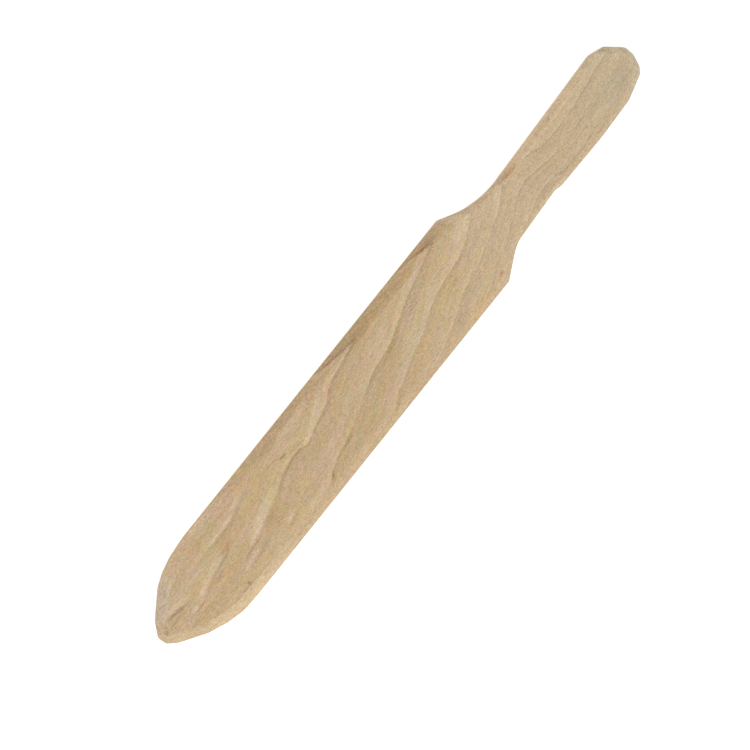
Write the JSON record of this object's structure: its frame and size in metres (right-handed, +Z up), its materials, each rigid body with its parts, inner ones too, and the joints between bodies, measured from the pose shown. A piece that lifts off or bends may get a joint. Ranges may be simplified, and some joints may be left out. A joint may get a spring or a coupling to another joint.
{
  "type": "crepe spatula",
  "caption": "Long flat wooden spatula for turning crepes, with a pointed round tip, bevelled edges, a narrow neck and a flat hand-shaped grip.",
  "frame": {"origin": "under the middle of the board, on the underside that it lies on", "axes": "+X from the tip of the blade towards the butt of the grip, +Y across the board, +Z up out of the upper face"},
  "size_m": [0.335, 0.044, 0.005],
  "materials": {
    "beech": "bare sanded beech, matt, unoiled"
  },
  "bodies": {
    "root": {"spatula": "beech"}
  },
  "joints": []
}
